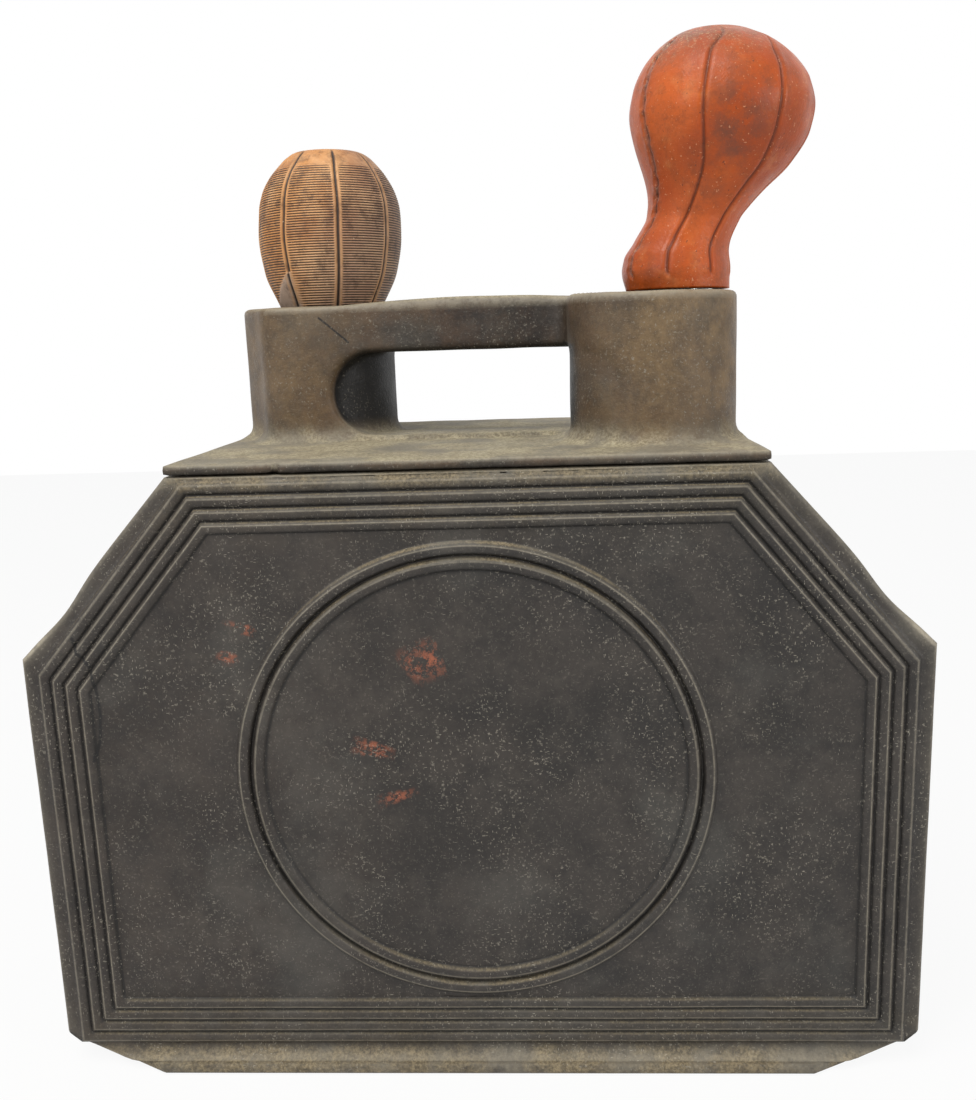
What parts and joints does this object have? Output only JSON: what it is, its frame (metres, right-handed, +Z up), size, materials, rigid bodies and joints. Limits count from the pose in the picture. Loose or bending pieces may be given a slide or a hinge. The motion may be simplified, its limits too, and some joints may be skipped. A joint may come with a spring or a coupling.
{
  "type": "battery service kit",
  "caption": "Moulded rubber battery service kit: water case with carrying handle, float hydrometer in one tower, bulb filler in the other.",
  "frame": {"origin": "under the middle of the case, on the surface that it stands on", "axes": "+X to the right along the panelled face, +Y from the face that the picture shows to the back, +Z up"},
  "size_m": [0.269, 0.145, 0.3155],
  "materials": {
    "case_rubber": "aged matt moulded rubber, dusty",
    "red_rubber": "smooth aged red rubber",
    "brown_rubber": "ribbed aged brown rubber",
    "soft_rubber": "matt black rubber",
    "hard_rubber": "satin black hard rubber",
    "clear_glass": "clear drawn glass",
    "lead_shot": "dull grey shot in wax",
    "scale_paper": "rolled printed paper with plain numbers"
  },
  "bodies": {
    "case": {"tank_shell": "case_rubber", "base_sole": "case_rubber", "top_moulding": "case_rubber", "hydrometer_well": "hard_rubber", "well_pad": "soft_rubber", "filler_seat": "soft_rubber"},
    "hydrometer": {"hydrometer_bulb": "red_rubber", "glass_barrel": "clear_glass", "lower_stopper": "soft_rubber", "hydrometer_nozzle": "hard_rubber", "lower_float_bumper": "soft_rubber", "upper_float_bumper": "soft_rubber"},
    "hydrometer_float": {"float_glass": "clear_glass", "float_ballast": "lead_shot", "float_scale": "scale_paper"},
    "filler": {"filler_bulb": "brown_rubber", "filler_plug": "soft_rubber", "filler_tube": "clear_glass", "filler_tip": "soft_rubber"}
  },
  "joints": [
    {"name": "hydrometer_lift", "type": "slide", "parent": "case", "child": "hydrometer", "axis": [0.0523, 0, 0.9986], "range_m": [0, 0.225]},
    {"name": "float_rise", "type": "slide", "parent": "hydrometer", "child": "hydrometer_float", "axis": [0.0523, 0, 0.9986], "range_m": [0, 0.045]},
    {"name": "filler_lift", "type": "slide", "parent": "case", "child": "filler", "axis": [0, 0, 1], "range_m": [0, 0.227]}
  ]
}
